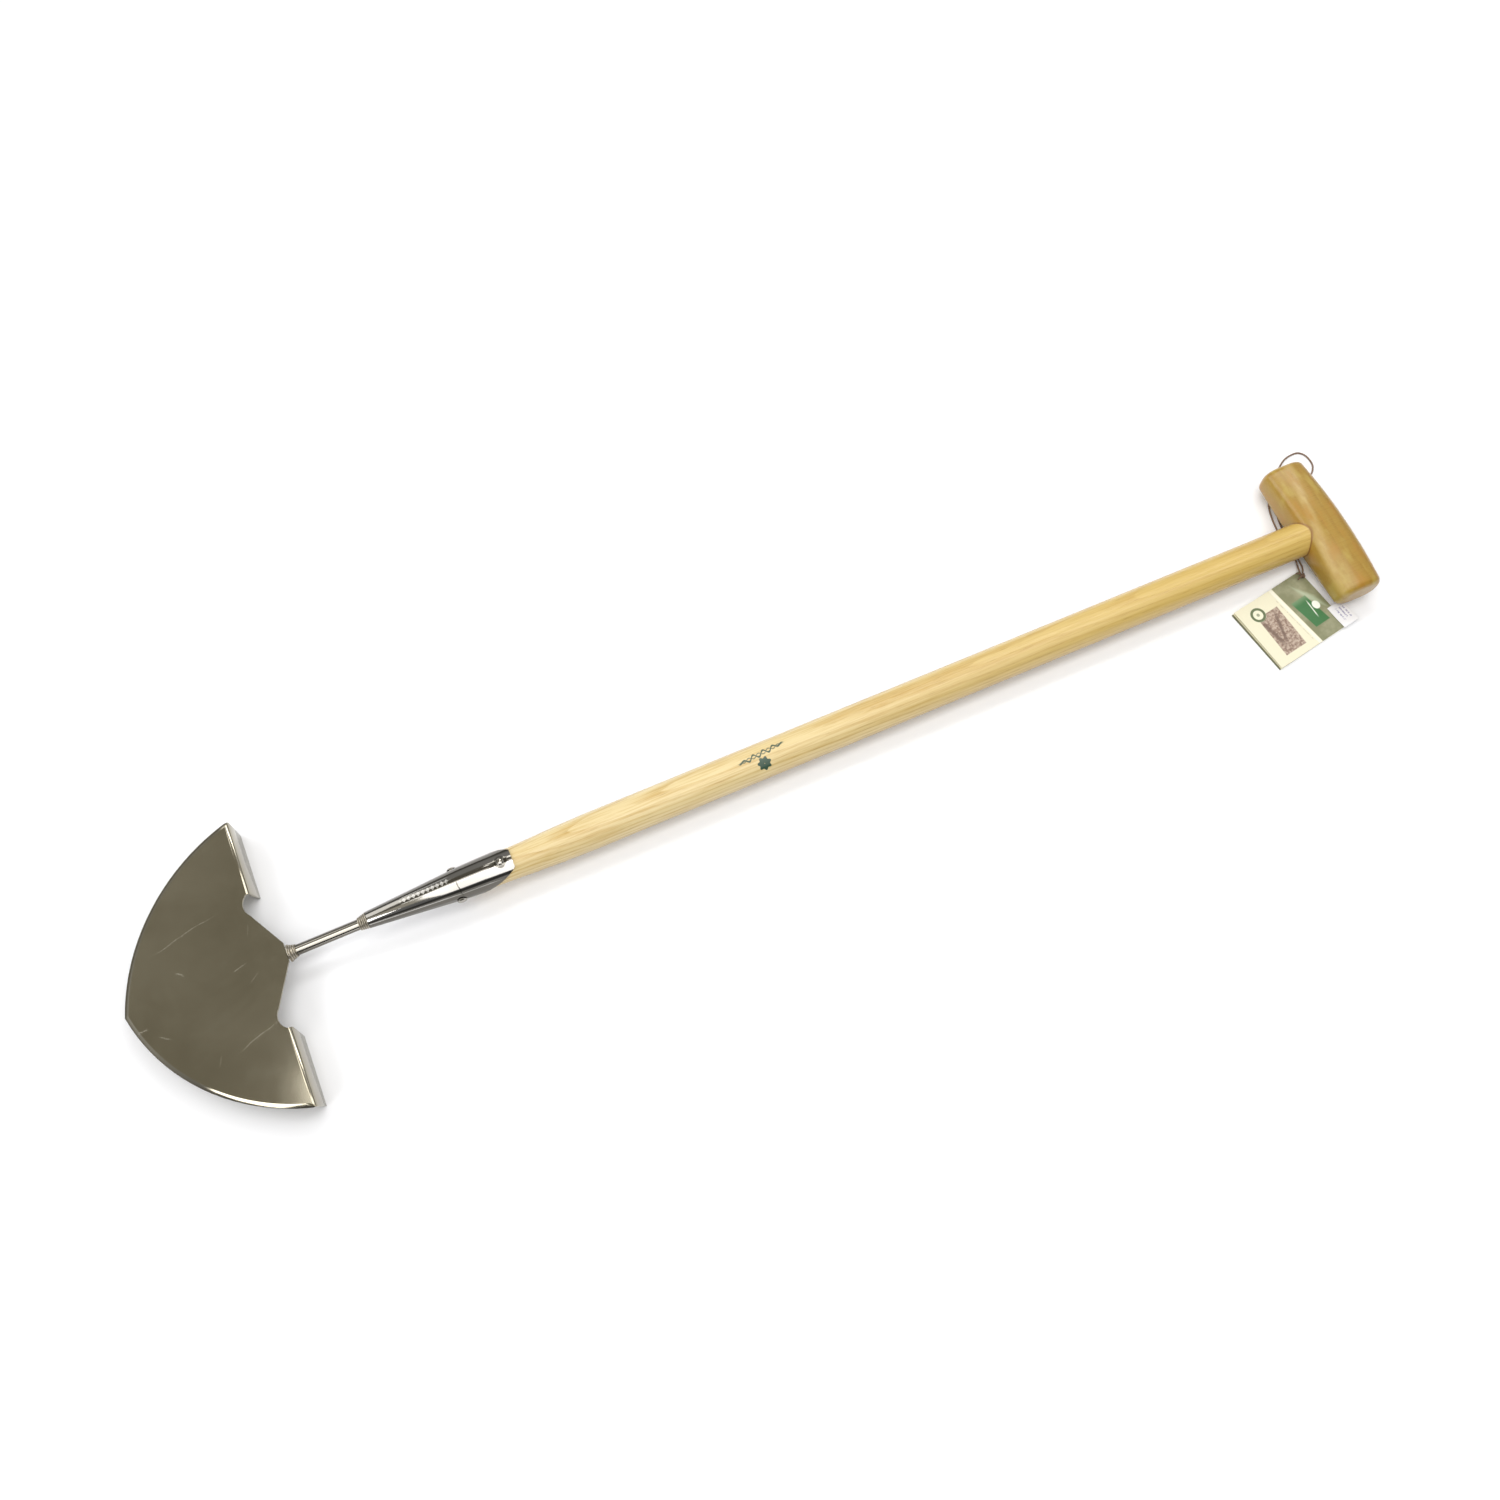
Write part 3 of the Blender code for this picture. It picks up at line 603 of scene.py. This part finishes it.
def grip_ash():
    """The grip: golden ash with its grain along Y, a cloud or two, a painted highlight along its
    ridge, a stain at the joint.
    """
    finish, body = ash(
        "ash_grip", ((0.36, 0.225, 0.032), (0.35, 0.212, 0.027)), (0.44, 0.49),
        (0.0, 0.0, math.pi / 2), 0.0075, (0.5, 0.6), (0.5, 0.2),
    )
    spot = finish.spot()
    x, y, z = finish.axes(spot)
    cloud = finish.noise(finish.stretch(spot, (75.0, 30.0, 60.0), (0.0, 0.0, 0.3)), 1.0, 3.0, 0.6)
    body = finish.mix(cloud.fade(0.47, 0.66) * 0.65, body, (0.38, 0.185, 0.019))
    body = finish.mix(cloud.fade(0.48, 0.32) * 0.6, body, (0.43, 0.32, 0.070))
    # painted highlight: a pale streak along the grip's upper ridge
    painted_ridge_highlight = abs(x - 0.4690 - 0.18 * y).fade(0.0055, 0.0003) * z.fade(0.022, 0.028)
    body = finish.mix(painted_ridge_highlight * cloud.fade(0.75, 0.35) * 0.36, body, (0.66, 0.51, 0.25))
    inner_side = x.fade(0.4755, 0.4700)
    joint = distance(y, z - AXIS_HEIGHT).fade(0.0150, 0.0141) * inner_side * 0.7
    finish.colour(finish.mix(joint, body, JOINT_STAIN))
    return finish


# ---------------------------------------------------------------- tag
OLIVE_INK = (0.12, 0.155, 0.075)
FOLD_SLOPE = 0.055


def tag_axes(finish, middle):
    """Distances along the tag's long side, towards the grip, and across it."""
    spot = finish.spot()
    settings = {"vector_type": "TEXTURE"}
    local = finish.node("ShaderNodeMapping", settings, spot, tuple(middle), (0.0, 0.0, TAG_TURN))
    p, q = finish.axes(local)[:2]
    return spot, p, q


def olive_head(finish, p, q, cloud):
    """The tag's upper part: olive with a pale sheen, a green panel, a rule and a white leaf."""
    olive = finish.mix(cloud.fade(0.35, 0.7), (0.205, 0.21, 0.115), (0.30, 0.30, 0.19))
    sheen = abs(p - 0.0255 + 0.45 * (q - 0.009)) + abs(q - 0.006) * 0.25
    olive = finish.mix(sheen.fade(0.0055, 0.0010) * 0.6, olive, (0.50, 0.58, 0.42))
    panel = box_mask(p + q * 0.12, q, (0.0182, -0.0035), (0.0072, 0.0132), 0.0005)
    green = finish.mix(q.fade(0.004, 0.011), (0.028, 0.15, 0.045), (0.16, 0.27, 0.14))
    olive = finish.mix(panel * 0.92, olive, green)
    rule = line_mask(p, q, (0.0222, 0.0070), (0.0205, -0.0120), 0.0007)
    leaf = (((p - 0.0262) / 0.0031) ** 2.0 + ((q + 0.0015) / 0.0037) ** 2.0).fade(1.2, 0.8)
    return finish.mix((rule * 0.9).highest(leaf), olive, (0.80, 0.84, 0.76))


def cream_foot(finish, p, q, fibre, mottle):
    """The tag's lower part: cream with a row of dashes, a brick-brown picture and a ring."""
    card = finish.mix(fibre * 0.3, (0.745, 0.715, 0.545), (0.69, 0.66, 0.50))
    strip = abs(p - 0.0052 + q * FOLD_SLOPE).fade(0.0016, 0.0010)
    card = finish.mix(strip * 0.6, card, (0.84, 0.83, 0.74))
    dashes = abs(p - 0.0026 + q * 0.05).fade(0.0005, 0.0002) * abs(q + 0.002).fade(0.022, 0.020)
    card = finish.mix(dashes * mottle.fade(0.40, 0.55) * 0.5, card, (0.33, 0.28, 0.22))
    picture = box_mask(p - q * 0.05, q, (-0.0124, -0.0040), (0.0104, 0.0186), 0.0004)
    brick = finish.mix(mottle.fade(0.38, 0.62), (0.20, 0.12, 0.09), (0.47, 0.37, 0.30))
    left = line_mask(p, q, (-0.0215, 0.0150), (-0.0175, -0.0200), 0.0028)
    right = line_mask(p, q, (-0.0050, 0.0150), (-0.0170, -0.0180), 0.0020)
    brick = finish.mix(left.highest(right) * 0.85, brick, (0.12, 0.065, 0.05))
    card = finish.mix(picture * 0.95, card, brick)
    radius = distance(p + 0.0193, q - 0.0168)
    card = finish.mix(radius.fade(0.0067, 0.0063), card, (0.75, 0.74, 0.58))
    ring = abs(radius - 0.0053).fade(0.0013, 0.0009)
    dot = radius.fade(0.0016, 0.0012)
    return finish.mix(ring.highest(dot * 0.7), card, OLIVE_INK)


def card_print():
    """The front leaf: an olive head over a cream foot."""
    finish = Finish("printed_tag_card", Specular_IOR_Level=0.4)
    spot, p, q = tag_axes(finish, TAG_MIDDLE)
    fibre = finish.noise(spot, 1800.0, 2.0)
    mottle = finish.noise(spot, 420.0, 4.0, 0.7)
    cloud = finish.noise(spot, 70.0, 3.0, 0.6)
    head = (p - 0.0072 + q * FOLD_SLOPE).fade(-0.0002, 0.0002)
    foot_tone = cream_foot(finish, p, q, fibre, mottle)
    head_tone = olive_head(finish, p, q, cloud)
    finish.colour(finish.mix(head, foot_tone, head_tone))
    finish.roughness(0.36 + 0.12 * fibre)
    finish.bump(fibre, 0.00002)
    return finish


def plain_card():
    """The inner and back leaves: cream card, with a dark olive painted shadow along their lower
    edge.
    """
    finish = Finish("cream_tag_card", Specular_IOR_Level=0.4)
    spot, p = tag_axes(finish, TAG_MIDDLE)[:2]
    fibre = finish.noise(spot, 1800.0, 2.0)
    card = finish.mix(fibre * 0.3, (0.78, 0.745, 0.55), (0.72, 0.69, 0.50))
    # painted shadow along the leaves' lower edge
    painted_edge_shadow = p.fade(-0.0346, -0.0350)
    finish.colour(finish.mix(painted_edge_shadow * 0.9, card, (0.11, 0.115, 0.05)))
    finish.roughness(0.45 + 0.12 * fibre)
    finish.bump(fibre, 0.00002)
    return finish


def label_paper():
    """White sticker with a few faint violet dashes in rows."""
    finish = Finish("label_paper_print", Specular_IOR_Level=0.3)
    spot, p, q = tag_axes(finish, LABEL_MIDDLE)
    fibre = finish.noise(spot, 2400.0, 2.0)
    smudged = finish.stretch(spot, (500.0, 900.0, 900.0), (0.0, 0.0, TAG_TURN))
    smudge = finish.noise(smudged, 1.0, 2.0)
    rows = None
    for level, half in ((0.0042, 0.0068), (0.0012, 0.0052), (-0.0022, 0.0070)):
        row = abs(p - level).fade(0.0009, 0.0005) * abs(q - 0.001).fade(half, half - 0.0006)
        rows = row if rows is None else rows.highest(row)
    ink = rows * smudge.fade(0.44, 0.52) * 0.8
    paper = finish.mix(fibre * 0.2, (0.80, 0.80, 0.82), (0.74, 0.74, 0.76))
    finish.colour(finish.mix(ink, paper, (0.27, 0.26, 0.42)))
    finish.roughness(0.4 + 0.1 * fibre)
    finish.bump(fibre, 0.00001)
    return finish


def string_jute():
    """Two strands twisted together, wound along the string's own length."""
    finish = Finish("twisted_jute", Specular_IOR_Level=0.2)
    wound = finish.node("ShaderNodeTexCoord", {}, output=2)
    u, v = finish.axes(wound)[:2]
    strand = ((u * 150.0 + v * 2.0) * math.tau).wave() * 0.5 + 0.5
    hair = finish.noise(finish.spot(), 4000.0, 2.0)
    shade = strand * 0.7 + hair * 0.3
    finish.colour(finish.mix(shade, (0.10, 0.055, 0.035), (0.33, 0.225, 0.16)))
    finish.roughness(0.8 + 0.15 * hair)
    finish.bump(shade, 0.0002)
    return finish


# ---------------------------------------------------------------- shaped pieces
LEVEL_ENOUGH = 0.9998
DISSOLVE_ANGLE = math.radians(0.6)
GRIP_SIDE_SHARE = 0.62
GRIP_CAP_SHARE = 0.86
GRIP_CAP_CROWN = 0.0002
LEAF_FREE_FROM = 0.012


def keep_flat(mesh):
    """Sharp edges round the level faces, so that the slopes beside them don't bend their light."""
    level = {face.index for face in mesh.polygons if abs(face.normal.z) > LEVEL_ENOUGH}
    inside = {key for face in mesh.polygons if face.index in level for key in face.edge_keys}
    outside = {key for face in mesh.polygons if face.index not in level for key in face.edge_keys}
    for edge in mesh.edges:
        if tuple(sorted(edge.vertices)) in inside & outside:
            edge.use_edge_sharp = True


def softened(node, name, slot, width, angle):
    """A copy of a node's shape, its creases rounded over by a small bevel."""
    work = bmesh.new()
    work.from_mesh(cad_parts[node].data)
    bmesh.ops.remove_doubles(work, verts=work.verts, dist=MERGE)
    bmesh.ops.dissolve_limit(work, angle_limit=DISSOLVE_ANGLE, verts=work.verts, edges=work.edges)
    limit = math.radians(angle)
    creases = [e for e in work.edges if e.is_manifold and e.calc_face_angle() > limit]
    bmesh.ops.bevel(
        work, geom=creases, affect="EDGES", offset=width, segments=2, profile=0.5, material=-1,
        clamp_overlap=True,
    )
    return add_piece(name, close_work(work, name), slot, node, crease=28.0)


def squared(angle):
    """A point on the grip's squared-up section, on the unit scale."""
    power = 2.0 / GRIP_SQUARENESS
    return [
        math.copysign(abs(part) ** power, part) for part in (math.cos(angle), math.sin(angle))
    ]


def make_grip():
    """A ball squared up into the bowed cross grip, with rounded rims and flat ends."""
    reach = GRIP_HALF_LENGTH - GRIP_ROUNDING
    work = bmesh.new()
    bmesh.ops.create_uvsphere(work, u_segments=96, v_segments=64, radius=1.0)
    for vertex in work.verts:
        polar = math.acos(max(-1.0, min(1.0, vertex.co.z)))
        share = 1.0 - polar / (math.pi / 2)
        side = math.copysign(1.0, share)
        share = abs(share)
        shrink = 1.0
        if share < GRIP_SIDE_SHARE:
            across = reach * share / GRIP_SIDE_SHARE
            tuck = 0.0
        elif share < GRIP_CAP_SHARE:
            swing = (share - GRIP_SIDE_SHARE) / (GRIP_CAP_SHARE - GRIP_SIDE_SHARE) * math.pi / 2
            across = reach + GRIP_ROUNDING * math.sin(swing)
            tuck = GRIP_ROUNDING * (1.0 - math.cos(swing))
        else:
            shrink = (1.0 - share) / (1.0 - GRIP_CAP_SHARE)
            across = GRIP_HALF_LENGTH + GRIP_CAP_CROWN * (1.0 - shrink)
            tuck = GRIP_ROUNDING
        taper = min(1.0, abs(across) / reach) ** 2
        depth, thickness = (
            middle + (end - middle) * taper for middle, end in zip(GRIP_MIDDLE, GRIP_END)
        )
        x, z = squared(math.atan2(vertex.co.y, vertex.co.x))
        vertex.co = place(
            GRIP_FACE + depth + 0.25 * tuck + (depth - tuck) * shrink * x,
            side * across,
            AXIS_HEIGHT + (thickness - tuck) * shrink * z,
        )
    bmesh.ops.remove_doubles(work, verts=work.verts, dist=0.1 * MERGE)
    bmesh.ops.recalc_face_normals(work, faces=work.faces)
    mesh = close_work(work, "shaped_grip")
    return add_piece("shaped_grip", mesh, "grip_ash", "t_grip", crease=60.0)


def thin_sheet(name, node, slot, segments, middle, size, thickness, shaped):
    """A rectangle of card or paper, turned with the tag, its points moved by a function."""
    work = bmesh.new()
    bmesh.ops.create_grid(work, x_segments=segments[0], y_segments=segments[1], size=0.5)
    turn = Matrix.Rotation(TAG_TURN, 3, "Z")
    for vertex in work.verts:
        spot = shaped(vertex.co.x * size[0], vertex.co.y * size[1])
        vertex.co = middle + turn @ Vector(spot)
    bmesh.ops.solidify(work, geom=work.faces[:], thickness=thickness)
    bmesh.ops.recalc_face_normals(work, faces=work.faces)
    return add_piece(name, close_work(work, name), slot, node)


def make_leaf(name, node, level, lift, shorten):
    """One leaf of the tag, curling up towards its free lower edge."""

    def curled(p, q):
        free = max(0.0, (LEAF_FREE_FROM - p) / (LEAF_FREE_FROM + TAG_SIZE[0] / 2))
        wave = 1.0 + 0.35 * math.sin(2.2 * q / TAG_SIZE[1] + 0.4)
        return p + shorten * free, q, level + lift * free**2.2 * wave

    return thin_sheet(name, node, "tag_card", (36, 30), TAG_MIDDLE, TAG_SIZE, LEAF, curled)


def make_label():
    """The sticker, lifting a little at its free end."""

    def lifted(p, q):
        free = max(0.0, -q - 0.001) / 0.010
        return p, q, LABEL_LEVEL + 0.0006 * free**2

    return thin_sheet(
        "stuck_label", "price_label", "label_paper", (8, 12), LABEL_MIDDLE, LABEL_SIZE,
        LABEL_PAPER, lifted,
    )


# ---------------------------------------------------------------- build
def dress(finish, *pieces):
    for piece in pieces:
        piece.data.materials.clear()
        piece.data.materials.append(finish.material)


def show(finish, *nodes):
    for node in nodes:
        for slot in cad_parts[node].material_slots:
            slot.material = finish.material


def build_metal():
    weld = weld_steel()
    rolled = socket_steel()
    rod = steel(
        "polished_rod_steel", (0.60, 0.57, 0.51), 0.07, 0.15, 0.00001, axis_height=ROD_HEIGHT
    )
    fastener = steel("bright_fastener_steel", (0.42, 0.40, 0.36), 0.10, 0.20, 0.00002)
    blade = softened("blade", "ground_blade", "blade_steel", 0.0003, 30.0)
    keep_flat(blade.data)
    dress(blade_steel(), blade)
    dress(rolled, softened("socket", "rolled_socket", "socket_steel", 0.00015, 40.0))
    dress(rod, softened("neck_rod", "neck_bar", "rod_steel", 0.0002, 40.0))
    show(weld, "peak_weld", "left_weld_bead", "right_weld_bead", "socket_weld")
    show(fastener, "side_rivet", "tongue_screw")


def build_wood():
    show(shaft_ash(), "shaft")
    dress(grip_ash(), make_grip())


def build_tag():
    cream = plain_card()
    dress(cream, make_leaf("curled_back_leaf", "tag_back_leaf", 0.0006, 0.0, 0.0))
    dress(cream, make_leaf("curled_inner_leaf", "tag_inner_leaf", 0.0014, 0.0003, 0.0002))
    dress(card_print(), make_leaf("curled_front_leaf", "tag_front_leaf", 0.0022, 0.0016, 0.0009))
    dress(label_paper(), make_label())
    dress(string_jute(), string_piece, knot_piece)


build_metal()
build_wood()
build_tag()


# ---------------------------------------------------------------- floor and light
WARM_WHITE = (1.0, 0.99, 0.975)
# Each light: its name, its middle, the point it faces, its two sides, its watts, its colour.
SOFTBOXES = (
    ("top_softbox", (0.308, 0.04, 1.6), (0.308, 0.04, 0.0), (2.164, 0.54), 11.3, WARM_WHITE),
    ("near_softbox", (0.27, -1.1, 1.6), (0.27, -1.1, 0.0), (2.24, 1.7), 17.0, WARM_WHITE),
    ("back_softbox", (0.75, 1.0, 1.6), (0.75, 1.0, 0.0), (1.8, 0.4), 11.0, (1.0, 0.99, 0.98)),
    ("far_softbox", (-1.8, 1.8, 2.0), (0.0, 0.0, 0.0), (1.9, 1.7), 28.0, (1.0, 0.995, 0.99)),
    ("left_softbox", (-1.9, -0.95, 1.6), (-0.4, -0.1, 0.0), (0.9, 0.9), 12.0, (1.0, 0.995, 0.985)),
)


def area_light(name, middle, target, size, watts, colour):
    data = bpy.data.lights.new(name, "AREA")
    data.shape = "RECTANGLE"
    data.size = size[0]
    data.size_y = size[1]
    data.energy = watts
    data.color = colour
    light = bpy.data.objects.new(name, data)
    light.location = middle
    aim = Vector(target) - Vector(middle)
    light.rotation_euler = aim.to_track_quat("-Z", "Y").to_euler()
    bpy.context.scene.collection.objects.link(light)


def make_floor():
    work = bmesh.new()
    bmesh.ops.create_grid(work, x_segments=2, y_segments=2, size=4.0)
    floor = bpy.data.objects.new("table_top", close_work(work, "table_top"))
    bpy.context.scene.collection.objects.link(floor)
    finish = Finish("table_white", Roughness=0.8, Specular_IOR_Level=0.1)
    finish.colour((0.893, 0.903, 0.935, 1.0))
    dress(finish, floor)


def make_world():
    """A soft studio: grey walls, darker towards the near side and the skirting, a dim ceiling."""
    world = bpy.data.worlds.new("studio")
    world.use_nodes = True
    bpy.context.scene.world = world
    nodes = world.node_tree.nodes
    links = world.node_tree.links

    def fade(value, start, end, low, high):
        step = nodes.new("ShaderNodeMapRange")
        step.interpolation_type = "SMOOTHSTEP"
        for index, number in enumerate((start, end, low, high)):
            step.inputs[index + 1].default_value = number
        links.new(value, step.inputs[0])
        return step.outputs[0]

    def blend(share, first, second):
        mix = nodes.new("ShaderNodeMix")
        mix.data_type = "RGBA"
        for index, value in ((0, share), (6, first), (7, second)):
            if isinstance(value, tuple):
                mix.inputs[index].default_value = (*value, 1.0)
            else:
                links.new(value, mix.inputs[index])
        return mix.outputs[2]

    spot = nodes.new("ShaderNodeTexCoord")
    split = nodes.new("ShaderNodeSeparateXYZ")
    links.new(spot.outputs["Generated"], split.inputs[0])
    wall = fade(split.outputs["Y"], -0.55, 0.35, 0.12, 0.70)
    skirting = fade(split.outputs["Z"], 0.12, 0.42, 1.0, 0.0)
    ceiling = fade(split.outputs["Z"], 0.72, 0.86, 0.0, 1.0)
    room = blend(skirting, wall, (0.22, 0.215, 0.20))
    room = blend(ceiling, room, (0.33, 0.31, 0.255))
    path = nodes.new("ShaderNodeLightPath")
    seen = blend(path.outputs["Is Camera Ray"], room, (1.0, 1.0, 1.0))
    links.new(seen, nodes["Background"].inputs["Color"])


make_floor()
make_world()
for softbox in SOFTBOXES:
    area_light(*softbox)
bpy.context.scene.view_settings.view_transform = "Standard"
